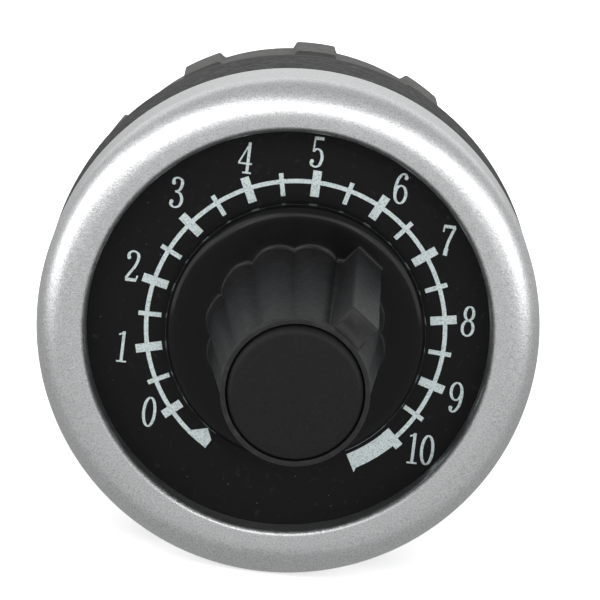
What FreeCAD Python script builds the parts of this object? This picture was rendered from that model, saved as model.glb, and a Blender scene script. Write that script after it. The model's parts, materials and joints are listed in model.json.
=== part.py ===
"""Panel-mount rotary potentiometer: aluminium bezel, 0-10 dial, skirted knob, M22 barrel.

Frame: the device axis is Y and the dial faces -Y. +Z is up, towards the middle of the scale,
and +X is to the right of someone who reads the dial. The origin is on the barrel's axis, in
the rear face of the panel gasket, where the panel's front face seats. Millimetres.
"""
import FreeCAD, Part
import math
import os
import re

import Sketcher

Vector = FreeCAD.Vector
Rotation = FreeCAD.Rotation
Placement = FreeCAD.Placement

# Driving dimensions. "Y" words are places along the device axis, negative in front of the panel.
SIZES = {
    # bezel, dial plate and moulded housing
    "LipY": -13.6,
    "LipRadius": 12.0,
    "LipThickness": 1.8,
    "BezelRadius": 15.0,
    "BezelBackY": -7.2,
    "BezelBore": 13.4,
    "DomeRadius": 2.1,
    "LipRound": 0.35,
    "SnapHeight": 0.2,
    "SnapWidth": 0.7,
    "SnapInset": 1.5,
    "SnapGap": 0.05,
    "DialRadius": 12.8,
    "DialThickness": 1.0,
    "DialHole": 3.8,
    "FlangeRadius": 15.0,
    "GasketThickness": 1.5,
    "GasketRadius": 14.95,
    "GasketGap": 0.15,
    "GasketLead": 0.3,
    "BarrelRadius": 11.0,
    "BarrelRelief": 10.7,
    "BarrelRearY": 19.0,
    "BarrelBore": 9.4,
    "PlainEndY": 3.5,
    "ThreadPitch": 1.5,
    "ThreadDepth": 0.9,
    "WebRearY": -6.6,
    "WebFrontY": -8.2,
    "NutPocket": 6.6,
    "DialSealRadius": 11.9,
    "DialSealCord": 0.4,
    # ring nut and thrust washer on the barrel
    "WasherFrontY": 5.9,
    "WasherThickness": 1.0,
    "WasherRadius": 13.1,
    "RunningGap": 0.06,
    "NutThickness": 6.0,
    "NutRadius": 13.8,
    "NutEdge": 0.3,
    "NutLead": 0.5,
    "LugRadius": 14.25,
    "LugWidth": 2.4,
    "LugCount": 12.0,
    "KeyWidth": 3.0,
    # knob
    "SpindleShiftX": 0.45,
    "SpindleShiftZ": 0.0,
    "RestAngle": 37.0,
    "SkirtBackY": -12.0,
    "SkirtTopY": -13.8,
    "SkirtRound": 0.8,
    "SkirtRadius": 7.75,
    "SkirtHollow": 6.7,
    "SkirtHollowY": -12.9,
    "GripBaseRadius": 4.7,
    "GripFrontRadius": 3.55,
    "GripFrontY": -29.9,
    "LobeBaseRadius": 1.75,
    "LobeFrontRadius": 1.4,
    "LobeBaseReach": 5.3,
    "LobeFrontReach": 4.05,
    "LobeCount": 12.0,
    "CollarRadius": 4.15,
    "CollarEdge": 0.06,
    "KnobFrontY": -30.8,
    "CapFrontY": -31.05,
    "CapRadius": 3.8,
    "CapRound": 0.5,
    "CapSeat": 3.86,
    "CapBackY": -29.8,
    "PointerBaseReach": 6.3,
    "PointerFrontReach": 5.65,
    "PointerWidth": 1.95,
    "PointerCorner": 0.15,
    "PointerRoot": 3.4,
    "PointerFrontY": -30.3,
    # collet, its nut, and the spindle with its clip and seal
    "SpindleRadius": 2.0,
    "SpindleBore": 2.05,
    "SpindleFrontY": -27.5,
    "SpindleBackY": -2.6,
    "ColletRadius": 2.5,
    "ColletFrontY": -29.0,
    "ColletConeY": -18.2,
    "ColletBackY": -16.2,
    "ColletConeRadius": 3.3,
    "ColletSlot": 0.5,
    "ColletGap": 0.06,
    "ColletWell": 3.15,
    "ColletShoulderY": -27.0,
    "ColletNutFlats": 5.4,
    "ColletNutThickness": 2.2,
    "PressGap": 0.03,
    "ClipFrontY": -11.9,
    "ClipThickness": 0.45,
    "ClipGroove": 1.6,
    "ClipRadius": 3.2,
    "SealY": -9.2,
    "SealCord": 0.35,
    # potentiometer inside the barrel
    "BushingRadius": 3.5,
    "BushingHole": 4.05,
    "BushingFrontY": -11.3,
    "PlateRadius": 8.4,
    "PlateThickness": 1.2,
    "StopInner": 7.1,
    "StopOuter": 8.0,
    "StopHalfAngle": 17.0,
    "StopDepth": 2.0,
    "RotorLugHalfAngle": 15.0,
    "PegRadius": 0.9,
    "PegReach": 7.8,
    "PegLength": 1.8,
    "LockWasherRadius": 5.3,
    "LockWasherThickness": 0.4,
    "BushingNutFlats": 10.0,
    "BushingNutThickness": 1.8,
    "RotorRadius": 6.8,
    "RotorFrontY": -4.7,
    "RotorBackY": -2.9,
    "WiperThickness": 0.25,
    "BrushRadius": 0.45,
    "BrushBackY": -1.63,
    "BoardFrontY": -1.5,
    "BoardThickness": 1.0,
    "BoardRadius": 8.0,
    "TrackThickness": 0.1,
    "TrackInner": 5.4,
    "TrackOuter": 6.6,
    "TrackHalfAngle": 150.0,
    "CollectorInner": 2.3,
    "CollectorOuter": 3.5,
    "RivetRadius": 0.6,
    "RivetHeadRadius": 0.95,
    "RivetHeadThickness": 0.3,
    "CanRadius": 8.5,
    "CanWall": 0.35,
    "CanBackY": 1.9,
    # terminal block, its three strips, clamp plates and screws
    "BlockRadius": 10.6,
    "BlockRearY": 31.0,
    "BlockNoseY": 9.0,
    "BlockFlat": 9.4,
    "BlockGap": 0.05,
    "WellHalfWidth": 2.5,
    "WellY": 25.1,
    "StripFloor": 3.8,
    "StripThickness": 0.8,
    "StripHalfWidth": 2.2,
    "TailHalfWidth": 1.0,
    "ClampHalfWidth": 2.3,
    "ClampThickness": 0.8,
    "ClampFloor": 7.0,
    "ScrewRadius": 1.5,
    "ScrewHeadRadius": 2.15,
    "ScrewHeadHeight": 1.5,
    "ScrewTip": 3.9,
    "ScrewGap": 0.05,
    "ClampGap": 0.08,
    "ScrewSlotWidth": 0.6,
    "ScrewSlotDepth": 0.8,
    "ScrewWellTip": 1.6,
    "WireHole": 1.2,
    "WireReach": 5.8,
}

doc = FreeCAD.newDocument("RotaryControl")
sheet = doc.addObject("Spreadsheet::Sheet", "Sizes")
for row, (word, value) in enumerate(SIZES.items(), 1):
    sheet.set(f"A{row}", word)
    sheet.set(f"B{row}", str(value))
    sheet.setAlias(f"B{row}", word)
doc.recompute()

parts = {}


def formula(text):
    """Turn words of the sheet, all of which start with a capital, into cell references."""
    return re.sub(r"\b[A-Z]\w+", lambda word: "Sizes." + word.group(0), str(text))


def value_of(text):
    """The number that a formula over the sheet's words stands for."""
    return float(sheet.evalExpression(formula(text).replace("Sizes.", "")))


def bind(target, **places):
    """Bind properties of an object to formulas; "_" in a name stands for a dot."""
    for name, text in places.items():
        target.setExpression(name.replace("_", "."), formula(text))


def keep(name, target, shifted=False):
    """Name a finished sub-part, on the spindle's axis where that is asked for."""
    target.Label = name
    if shifted:
        bind(target, Placement_Base_x="SpindleShiftX", Placement_Base_z="SpindleShiftZ")
    parts[name] = target
    return target


def turn_to_rest(target):
    """Turn a piece of the knob from the middle of the scale to where the knob rests."""
    target.Placement = Placement(target.Placement.Base, Rotation(Vector(0, 1, 0), 0))
    bind(target, Placement_Rotation_Angle="RestAngle * 1 deg")


# ---- sketches and bodies -------------------------------------------------------------------

def new_body(name):
    """An empty body."""
    return doc.addObject("PartDesign::Body", name + "_body")


def new_sketch(body, plane, name, offset="0"):
    """A sketch on one of the body's own origin planes, moved along that plane's normal."""
    sketch = body.newObject("Sketcher::SketchObject", name)
    origin_plane = [item for item in body.Origin.OriginFeatures if item.Role == plane][0]
    sketch.AttachmentSupport = [(origin_plane, "")]
    sketch.MapMode = "FlatFace"
    bind(sketch, AttachmentOffset_Base_z=offset)
    doc.recompute()
    return sketch


def pin_point(sketch, geometry, corner, across, along):
    """Fix a point of a sketch at two formulas."""
    for kind, text, axis in (("DistanceX", across, -2), ("DistanceY", along, -1)):
        if value_of(text) == 0:
            sketch.addConstraint(Sketcher.Constraint("PointOnObject", geometry, corner, axis))
            continue
        index = sketch.addConstraint(
            Sketcher.Constraint(kind, -1, 1, geometry, corner, value_of(text)))
        sketch.setExpression(f"Constraints[{index}]", formula(text))


def draw_outline(sketch, corners):
    """A closed outline of straight lines through corners given as formulas."""
    spots = [Vector(value_of(across), value_of(along), 0) for across, along in corners]
    count = len(spots)
    first = sketch.GeometryCount
    for step in range(count):
        sketch.addGeometry(Part.LineSegment(spots[step], spots[(step + 1) % count]))
    for step in range(count):
        follower = first + (step + 1) % count
        sketch.addConstraint(Sketcher.Constraint("Coincident", first + step, 2, follower, 1))
    for step, (across, along) in enumerate(corners):
        pin_point(sketch, first + step, 1, across, along)


def draw_circle(sketch, across, along, radius):
    """A circle with its centre and radius given as formulas."""
    centre = Vector(value_of(across), value_of(along), 0)
    index = sketch.addGeometry(Part.Circle(centre, Vector(0, 0, 1), value_of(radius)))
    pin_point(sketch, index, 3, across, along)
    limit = sketch.addConstraint(Sketcher.Constraint("Radius", index, value_of(radius)))
    sketch.setExpression(f"Constraints[{limit}]", formula(radius))


def revolved(name, corners):
    """A body turned about the device axis from (radius, y) corners."""
    body = new_body(name)
    sketch = new_sketch(body, "XY_Plane", name + "_outline")
    draw_outline(sketch, corners)
    turned = body.newObject("PartDesign::Revolution", name + "_turned")
    turned.Profile = sketch
    turned.ReferenceAxis = (sketch, ["V_Axis"])
    turned.Angle = 360
    doc.recompute()
    return body


def ring(name, inner, outer, front, back):
    """A plain ring, or a disc where its inner radius is nought."""
    return revolved(name, [(inner, front), (outer, front), (outer, back), (inner, back)])


def hexagon(across_flats):
    """Corners of a hexagon about the axis."""
    reach = f"({across_flats}) / 2 / cos(30 deg)"
    return [(f"{reach} * cos({60 * step} deg)", f"{reach} * sin({60 * step} deg)")
            for step in range(6)]


def round_rims(body, name, rims, radius):
    """Round the circular edges of given (radius, y) on a body."""
    edges = []
    for number, edge in enumerate(body.Shape.Edges, 1):
        if edge.Curve.TypeId != "Part::GeomCircle":
            continue
        for rim_radius, rim_y in rims:
            same_radius = abs(edge.Curve.Radius - value_of(rim_radius)) < 1e-4
            same_place = abs(edge.Curve.Center.y - value_of(rim_y)) < 1e-4
            if same_radius and same_place:
                edges.append(f"Edge{number}")
    if not edges:
        raise RuntimeError("no rim to round on " + name)
    fillet = body.newObject("PartDesign::Fillet", name)
    fillet.Base = (body.Tip if body.Tip != fillet else fillet.BaseFeature, edges)
    bind(fillet, Radius=radius)
    body.Tip = fillet
    doc.recompute()


def across_pad(body, name, draw, front, length, cutting=False):
    """A pad or pocket of a drawing square to the axis, from y = front towards +y."""
    sketch = new_sketch(body, "XZ_Plane", name + "_outline", f"-({front})")
    draw(sketch)
    kind = "PartDesign::Pocket" if cutting else "PartDesign::Pad"
    before = body.Shape.Volume if body.Tip else 0.0
    feature = body.newObject(kind, name)
    feature.Profile = sketch
    feature.Reversed = not cutting
    bind(feature, Length=length)
    doc.recompute()
    change = body.Shape.Volume - before
    if (change < 0) != cutting or abs(change) < 1e-6:
        raise RuntimeError(f"{name} changed the volume by {change}")
    return feature


def polar(body, name, feature, count):
    """Repeat a feature around the device axis."""
    pattern = body.newObject("PartDesign::PolarPattern", name)
    pattern.Originals = [feature]
    pattern.Axis = (feature.Profile[0], ["N_Axis"])
    pattern.Angle = 360
    bind(pattern, Occurrences=count)
    body.Tip = pattern
    doc.recompute()
    return pattern


# ---- plain solids and booleans ---------------------------------------------------------------

def box(name, low, high):
    """A box between two corners given as formulas."""
    block = doc.addObject("Part::Box", name)
    sizes = [f"({top}) - ({bottom})" for bottom, top in zip(low, high)]
    bind(block, Length=sizes[0], Width=sizes[1], Height=sizes[2])
    bind(block, Placement_Base_x=low[0], Placement_Base_y=low[1], Placement_Base_z=low[2])
    return block


def rod(name, radius, length, base, direction):
    """A cylinder from a base point along a unit direction."""
    cylinder = doc.addObject("Part::Cylinder", name)
    cylinder.Placement = Placement(Vector(), Rotation(Vector(0, 0, 1), Vector(*direction)))
    bind(cylinder, Radius=radius, Height=length)
    bind(cylinder, Placement_Base_x=base[0], Placement_Base_y=base[1], Placement_Base_z=base[2])
    return cylinder


def cut(name, base, tools):
    """A base with one or more solids cut out of it."""
    tool = tools[0]
    if len(tools) > 1:
        tool = doc.addObject("Part::MultiFuse", name + "_tools")
        tool.Shapes = tools
    result = doc.addObject("Part::Cut", name)
    result.Base = base
    result.Tool = tool
    return result


def fuse(name, solids):
    """Several solids as one."""
    result = doc.addObject("Part::MultiFuse", name)
    result.Shapes = solids
    return result


def group(name, solids):
    """Separate identical solids that share one node."""
    result = doc.addObject("Part::Compound", name)
    result.Links = solids
    return result


def torus(name, ring_radius, cord_radius, y):
    """An O-ring about the device axis."""
    seal = doc.addObject("Part::Torus", name)
    seal.Placement = Placement(Vector(), Rotation(Vector(1, 0, 0), 90))
    bind(seal, Radius1=ring_radius, Radius2=cord_radius, Placement_Base_y=y)
    return seal


def sector(name, inner, outer, middle, half_angle, front, back):
    """A piece of a ring centred on an angle from +Z, clockwise for someone who faces the dial."""
    body = new_body(name)
    sketch = new_sketch(body, "XY_Plane", name + "_outline")
    draw_outline(sketch, [(inner, front), (outer, front), (outer, back), (inner, back)])
    turned = body.newObject("PartDesign::Revolution", name + "_turned")
    turned.Profile = sketch
    turned.ReferenceAxis = (sketch, ["V_Axis"])
    turned.Midplane = True
    bind(turned, Angle=f"2 * ({half_angle})")
    body.Placement = Placement(Vector(), Rotation(Vector(0, 1, 0), middle - 90))
    doc.recompute()
    return body


# ---- bezel, dial plate and housing -----------------------------------------------------------

def make_bezel_ring():
    """Turned aluminium bezel: a domed ring whose lip holds the dial plate down."""
    groove_front = "BezelBackY - SnapInset - SnapWidth"
    groove_back = "BezelBackY - SnapInset"
    groove = "BezelBore + SnapHeight + SnapGap"
    body = revolved("bezel_ring", [
        ("LipRadius", "LipY"),
        ("BezelRadius", "LipY"),
        ("BezelRadius", "BezelBackY"),
        ("BezelBore", "BezelBackY"),
        ("BezelBore", groove_back),
        (groove, groove_back),
        (groove, groove_front),
        ("BezelBore", groove_front),
        ("BezelBore", "LipY + LipThickness"),
        ("LipRadius", "LipY + LipThickness"),
    ])
    round_rims(body, "bezel_dome", [("BezelRadius", "LipY")], "DomeRadius")
    round_rims(body, "bezel_lip", [("LipRadius", "LipY")], "LipRound")
    round_rims(body, "bezel_back", [("BezelRadius", "BezelBackY")], "0.15")
    keep("bezel_ring", body)


def make_dial_plate():
    """Black plate under the bezel's lip; its scale is centred on the spindle."""
    body = ring("dial_plate", "DialHole", "DialRadius",
                "LipY + LipThickness", "LipY + LipThickness + DialThickness")
    keep("dial_plate", body, shifted=True)


def make_dial_seal():
    """O-ring between the dial plate and the housing's nose."""
    keep("dial_seal", torus("dial_seal", "DialSealRadius", "DialSealCord",
                            "LipY + LipThickness + DialThickness + DialSealCord"))


def make_housing():
    """Moulded housing: nose under the bezel, flange, and a hollow M22 barrel."""
    nose_front = "LipY + LipThickness + DialThickness"
    seal_inner = "DialSealRadius - DialSealCord - 0.1"
    seal_outer = "DialSealRadius + DialSealCord + 0.1"
    seal_floor = nose_front + " + 2 * DialSealCord"
    nose = "BezelBore - SnapGap"
    ridge = nose + " + SnapHeight"
    outline = [
        ("BushingHole", "WebFrontY"),
        ("NutPocket", "WebFrontY"),
        ("NutPocket", nose_front),
        (seal_inner, nose_front),
        (seal_inner, seal_floor),
        (seal_outer, seal_floor),
        (seal_outer, nose_front),
        (nose, nose_front),
        (nose, "BezelBackY - SnapInset - SnapWidth + SnapGap"),
        (ridge, "BezelBackY - SnapInset - SnapWidth / 2 - SnapGap"),
        (nose, "BezelBackY - SnapInset - SnapGap"),
        (nose, "BezelBackY"),
        ("FlangeRadius", "BezelBackY"),
        ("FlangeRadius", "-GasketThickness"),
        ("BarrelRelief", "-GasketThickness"),
        ("BarrelRelief", "0"),
        ("BarrelRadius", "0"),
        ("BarrelRadius", "PlainEndY"),
    ]
    turns = int((value_of("BarrelRearY") - value_of("PlainEndY")) / value_of("ThreadPitch"))
    for turn in range(turns):
        start = f"PlainEndY + {turn} * ThreadPitch"
        outline += [
            ("BarrelRadius - ThreadDepth", start + " + ThreadPitch * 0.45"),
            ("BarrelRadius - ThreadDepth", start + " + ThreadPitch * 0.55"),
            ("BarrelRadius", start + " + ThreadPitch * 0.95"),
            ("BarrelRadius", start + " + ThreadPitch * 1.0"),
        ]
    outline += [
        ("BarrelRadius - 0.4", "BarrelRearY"),
        ("BarrelBore", "BarrelRearY"),
        ("BarrelBore", "BarrelRearY - 2.5"),
        ("BarrelBore + SnapHeight", "BarrelRearY - 2.5"),
        ("BarrelBore + SnapHeight", "BarrelRearY - 3.5"),
        ("BarrelBore", "BarrelRearY - 3.5"),
        ("BarrelBore", "WebRearY"),
        ("BushingHole", "WebRearY"),
    ]
    body = revolved("housing", outline)
    round_rims(body, "flange_rims", [("FlangeRadius", "-GasketThickness")], "0.3")
    keyway = box("keyway",
                 ("-(KeyWidth / 2)", "0", "-(BarrelRadius + 1)"),
                 ("KeyWidth / 2", "BarrelRearY + 1", "-(BarrelRadius - ThreadDepth)"))
    peg_hole = rod("peg_hole", "PegRadius + 0.1", "PegLength + 0.3",
                   ("SpindleShiftX", "WebRearY", "SpindleShiftZ - PegReach"), (0, -1, 0))
    keep("housing", cut("housing", body, [keyway, peg_hole]))


def make_panel_gasket():
    """Rubber ring between the flange and the panel, gripping the neck before the barrel."""
    bore = "BarrelRelief + GasketGap"
    keep("panel_gasket", revolved("panel_gasket", [
        (bore, "-GasketThickness"),
        ("GasketRadius", "-GasketThickness"),
        ("GasketRadius", "0"),
        ("BarrelRadius + GasketLead", "0"),
        (bore, "-(BarrelRadius + GasketLead) + BarrelRelief + GasketGap"),
    ]))


# ---- ring nut and thrust washer --------------------------------------------------------------

def make_thrust_washer():
    """Steel washer whose tab runs in the barrel's keyway, so that it slides and never turns."""
    body = ring("washer_disc", "BarrelRadius + RunningGap", "WasherRadius",
                "WasherFrontY", "WasherFrontY + WasherThickness")
    tab = box("washer_tab",
              ("-(KeyWidth / 2 - 0.1)", "WasherFrontY", "-(BarrelRadius + 0.6)"),
              ("KeyWidth / 2 - 0.1", "WasherFrontY + WasherThickness",
               "-(BarrelRadius - ThreadDepth + 0.1)"))
    keep("thrust_washer", fuse("thrust_washer", [body, tab]))


def make_ring_nut():
    """Grey moulded ring nut with twelve lugs for a spanner."""
    front = "WasherFrontY + WasherThickness"
    back = front + " + NutThickness"
    inner = "BarrelRadius + RunningGap"
    body = revolved("ring_nut", [
        (inner + " + NutLead", front),
        ("NutRadius - NutEdge", front),
        ("NutRadius", front + " + NutEdge"),
        ("NutRadius", back + " - NutEdge"),
        ("NutRadius - NutEdge", back),
        (inner + " + NutLead", back),
        (inner, back + " - NutLead"),
        (inner, front + " + NutLead"),
    ])

    def lug(sketch):
        draw_outline(sketch, [
            ("-LugWidth / 2 - 0.25", "NutRadius - 0.8"),
            ("-LugWidth / 2", "LugRadius"),
            ("LugWidth / 2", "LugRadius"),
            ("LugWidth / 2 + 0.25", "NutRadius - 0.8"),
        ])

    pad = across_pad(body, "nut_lug", lug, front + " + NutEdge", "NutThickness - 2 * NutEdge")
    polar(body, "nut_lugs", pad, "LugCount")
    keep("ring_nut", body)


# ---- knob ------------------------------------------------------------------------------------

def make_knob_body():
    """Skirted knob: twelve tapering lobes, a pointer rib, and a stepped bore for the collet."""
    body = revolved("knob_body", [
        ("0", "KnobFrontY"),
        ("CollarRadius - CollarEdge", "KnobFrontY"),
        ("CollarRadius", "KnobFrontY + CollarEdge"),
        ("CollarRadius", "GripFrontY"),
        ("GripFrontRadius", "GripFrontY"),
        ("GripBaseRadius", "SkirtTopY"),
        ("SkirtRadius", "SkirtTopY"),
        ("SkirtRadius", "SkirtBackY"),
        ("SkirtHollow", "SkirtBackY"),
        ("SkirtHollow", "SkirtHollowY"),
        ("0", "SkirtHollowY"),
    ])
    round_rims(body, "skirt_rim", [("SkirtRadius", "SkirtTopY")], "SkirtRound")
    lobe_base = new_sketch(body, "XZ_Plane", "lobe_base", "-(SkirtTopY + 0.3)")
    draw_circle(lobe_base, "0", "LobeBaseReach - LobeBaseRadius", "LobeBaseRadius")
    lobe_front = new_sketch(body, "XZ_Plane", "lobe_front", "-(GripFrontY)")
    draw_circle(lobe_front, "0", "LobeFrontReach - LobeFrontRadius", "LobeFrontRadius")
    lobe = body.newObject("PartDesign::AdditiveLoft", "lobe")
    lobe.Profile = lobe_base
    lobe.Sections = [lobe_front]
    lobe.Ruled = True
    doc.recompute()
    polar(body, "lobes", lobe, "LobeCount")
    rib_base = new_sketch(body, "XZ_Plane", "rib_base", "-(SkirtTopY + 0.3)")
    draw_outline(rib_base, rib_outline("PointerBaseReach"))
    rib_front = new_sketch(body, "XZ_Plane", "rib_front", "-(PointerFrontY)")
    draw_outline(rib_front, rib_outline("PointerFrontReach"))
    rib = body.newObject("PartDesign::AdditiveLoft", "pointer_rib")
    rib.Profile = rib_base
    rib.Sections = [rib_front]
    rib.Ruled = True
    doc.recompute()
    bore = revolved("knob_bore", [
        ("0", "ColletShoulderY"),
        ("ColletWell", "ColletShoulderY"),
        ("ColletWell", "CapBackY"),
        ("CapSeat", "CapBackY"),
        ("CapSeat", "KnobFrontY - 1"),
        ("0", "KnobFrontY - 1"),
    ])
    collet_bore = revolved("collet_bore", [
        ("0", "ColletShoulderY - 0.1"),
        ("ColletRadius + ColletGap", "ColletShoulderY - 0.1"),
        ("ColletRadius + ColletGap", "ColletConeY"),
        ("ColletConeRadius + ColletGap", "ColletBackY"),
        ("ColletConeRadius + 0.2", "ColletBackY"),
        ("ColletConeRadius + 0.2", "SkirtBackY + 1"),
        ("0", "SkirtBackY + 1"),
    ])
    knob = keep("knob_body", cut("knob_body", body, [bore, collet_bore]), shifted=True)
    turn_to_rest(knob)


def rib_outline(reach):
    """The pointer rib's section: flat sides and a blunt end with broken corners."""
    root = "PointerRoot"
    side = "PointerWidth / 2"
    return [
        (f"-{side}", root),
        (f"-{side}", f"{reach} - PointerCorner"),
        (f"PointerCorner - {side}", reach),
        (f"{side} - PointerCorner", reach),
        (side, f"{reach} - PointerCorner"),
        (side, root),
    ]


def make_knob_cap():
    """Cap that closes the knob over the collet nut."""
    body = ring("knob_cap", "0", "CapRadius", "CapFrontY", "CapBackY")
    round_rims(body, "cap_edge", [("CapRadius", "CapFrontY")], "CapRound")
    turn_to_rest(keep("knob_cap", body, shifted=True))


def make_collet():
    """Slotted brass collet that grips the spindle when its nut draws the cone in."""
    inner = "SpindleRadius + PressGap"
    body = revolved("collet_sleeve", [
        (inner, "ColletFrontY"),
        ("ColletRadius - 0.2", "ColletFrontY"),
        ("ColletRadius", "ColletFrontY + 0.2"),
        ("ColletRadius", "ColletConeY"),
        ("ColletConeRadius", "ColletBackY"),
        (inner, "ColletBackY"),
    ])
    slots = []
    for name, wide, deep in (("slot_up", "ColletSlot / 2", "5"), ("slot_side", "5", "ColletSlot / 2")):
        slots.append(box(name, (f"-({wide})", "ColletBackY - 7", f"-({deep})"),
                         (wide, "ColletBackY + 1", deep)))
    turn_to_rest(keep("collet", cut("collet", body, slots), shifted=True))


def make_collet_nut():
    """Hexagon nut at the front end of the collet, under the cap."""
    body = new_body("collet_nut")
    across_pad(body, "collet_hexagon", lambda sketch: draw_outline(sketch, hexagon("ColletNutFlats")),
               "ColletShoulderY - ColletNutThickness", "ColletNutThickness")
    across_pad(body, "collet_nut_hole",
               lambda sketch: draw_circle(sketch, "0", "0", "ColletRadius + PressGap"),
               "ColletShoulderY - ColletNutThickness - 0.1", "ColletNutThickness + 0.2", cutting=True)
    turn_to_rest(keep("collet_nut", body, shifted=True))


def make_spindle():
    """Spindle with grooves for its clip and its seal."""
    clip_back = "ClipFrontY + ClipThickness + 0.03"
    seal_root = "SpindleRadius - SealCord"
    body = revolved("spindle", [
        ("0", "SpindleFrontY"),
        ("SpindleRadius - 0.3", "SpindleFrontY"),
        ("SpindleRadius", "SpindleFrontY + 0.3"),
        ("SpindleRadius", "ClipFrontY - 0.03"),
        ("ClipGroove", "ClipFrontY - 0.03"),
        ("ClipGroove", clip_back),
        ("SpindleRadius", clip_back),
        ("SpindleRadius", "SealY - 0.45"),
        (seal_root, "SealY - 0.45"),
        (seal_root, "SealY + 0.45"),
        ("SpindleRadius", "SealY + 0.45"),
        ("SpindleRadius", "SpindleBackY"),
        ("0", "SpindleBackY"),
    ])
    turn_to_rest(keep("spindle", body, shifted=True))


def make_retaining_clip():
    """Open clip that keeps the spindle from being pulled or pushed along its bushing."""
    body = ring("clip_ring", "ClipGroove + 0.02", "ClipRadius",
                "ClipFrontY", "ClipFrontY + ClipThickness")
    mouth = box("clip_mouth", ("-1.1", "ClipFrontY - 1", "-(ClipRadius + 1)"),
                ("1.1", "ClipFrontY + 1", "0"))
    turn_to_rest(keep("retaining_clip", cut("retaining_clip", body, [mouth]), shifted=True))


def make_spindle_seal():
    """O-ring in the spindle's groove, running in the bushing."""
    seal = torus("spindle_seal", "SpindleRadius", "SealCord - 0.01", "SealY")
    keep("spindle_seal", seal, shifted=True)


# ---- potentiometer ---------------------------------------------------------------------------

def make_bushing_plate():
    """Front plate of the potentiometer with its M7 bushing, locating peg and rotation stop."""
    plate_back = "WebRearY + PlateThickness"
    body = revolved("bushing_plate", [
        ("SpindleBore", "BushingFrontY"),
        ("BushingRadius - 0.3", "BushingFrontY"),
        ("BushingRadius", "BushingFrontY + 0.3"),
        ("BushingRadius", "WebRearY"),
        ("PlateRadius", "WebRearY"),
        ("PlateRadius", plate_back),
        ("SpindleBore", plate_back),
        ("SpindleBore", "SealY + 0.6"),
        ("SpindleRadius + SealCord + 0.04", "SealY + 0.6"),
        ("SpindleRadius + SealCord + 0.04", "SealY - 0.6"),
        ("SpindleBore", "SealY - 0.6"),
    ])
    peg = rod("locating_peg", "PegRadius", "PegLength + 0.5",
              ("0", "WebRearY + 0.5", "-PegReach"), (0, -1, 0))
    stop = sector("stop_lug", "StopInner", "StopOuter", 180, "StopHalfAngle",
                  plate_back + " - 0.2", plate_back + " + StopDepth")
    keep("bushing_plate", fuse("bushing_plate", [body, peg, stop]), shifted=True)


def make_bushing_washer():
    """Toothed lock washer under the bushing nut."""
    front = "WebFrontY - LockWasherThickness"
    body = ring("lock_washer_disc", "BushingRadius + 0.1", "LockWasherRadius", front, "WebFrontY")

    def notch(sketch):
        draw_outline(sketch, [
            ("-0.35", "LockWasherRadius - 0.7"),
            ("-0.35", "LockWasherRadius + 0.5"),
            ("0.35", "LockWasherRadius + 0.5"),
            ("0.35", "LockWasherRadius - 0.7"),
        ])

    pocket = across_pad(body, "washer_notch", notch, front + " - 0.1", "1", cutting=True)
    polar(body, "washer_notches", pocket, "12")
    keep("bushing_washer", body, shifted=True)


def make_bushing_nut():
    """Hexagon nut that clamps the bushing to the housing's web."""
    front = "WebFrontY - LockWasherThickness - BushingNutThickness"
    body = new_body("bushing_nut")
    across_pad(body, "bushing_hexagon", lambda sketch: draw_outline(sketch, hexagon("BushingNutFlats")),
               front, "BushingNutThickness")
    across_pad(body, "bushing_nut_hole",
               lambda sketch: draw_circle(sketch, "0", "0", "BushingRadius + PressGap"),
               front + " - 0.1", "BushingNutThickness + 0.2", cutting=True)
    keep("bushing_nut", body, shifted=True)


def make_rotor():
    """Moulded disc on the spindle's rear end, with the lug that meets the stop."""
    disc = ring("rotor_disc", "SpindleRadius + PressGap", "RotorRadius", "RotorFrontY", "RotorBackY")
    lug = sector("rotor_lug", "RotorRadius - 0.5", "StopOuter - 0.3", 0, "RotorLugHalfAngle",
                 "RotorFrontY", "RotorFrontY + 1")
    turn_to_rest(keep("rotor", fuse("rotor", [disc, lug]), shifted=True))


def make_wiper():
    """Bronze wiper on the rotor: two brushes on the track, two on the collector ring."""
    back = "RotorBackY + WiperThickness"
    middle = ring("wiper_disc", "SpindleRadius + 0.2", "4.2", "RotorBackY", back)
    arm = box("wiper_arm", ("-1.2", "RotorBackY", "3.6"), ("1.2", back, "6.6"))
    brushes = []
    for name, across, reach in (("brush_a", "-0.6", "6.0"), ("brush_b", "0.6", "6.0"),
                                ("brush_c", "0", "2.9"), ("brush_d", "0", "-2.9")):
        brushes.append(rod(name, "BrushRadius", "BrushBackY - RotorBackY",
                           (across, "RotorBackY", reach), (0, 1, 0)))
    turn_to_rest(keep("wiper", fuse("wiper", [middle, arm] + brushes), shifted=True))


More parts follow.
